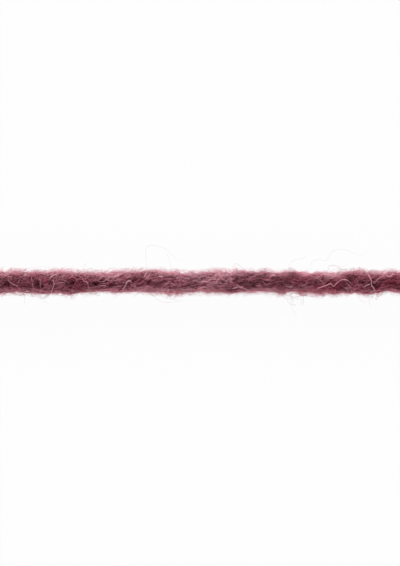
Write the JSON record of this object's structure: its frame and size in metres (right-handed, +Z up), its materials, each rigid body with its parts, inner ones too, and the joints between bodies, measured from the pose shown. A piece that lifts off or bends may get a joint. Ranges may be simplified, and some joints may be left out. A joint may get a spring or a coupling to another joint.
{
  "type": "knitting yarn",
  "caption": "Short cut length of soft, fuzzy plied wool knitting yarn in heathered plum, lying straight with plain cut ends.",
  "frame": {"origin": "the middle of the cut length, on the surface that the strand lies on", "axes": "+X along the strand, +Y across it, +Z up from the surface"},
  "size_m": [0.064, 0.0034, 0.003],
  "materials": {
    "wool": "soft matt heathered wool with a halo of loose fibres"
  },
  "bodies": {
    "root": {"yarn_strand": "wool"}
  },
  "joints": []
}
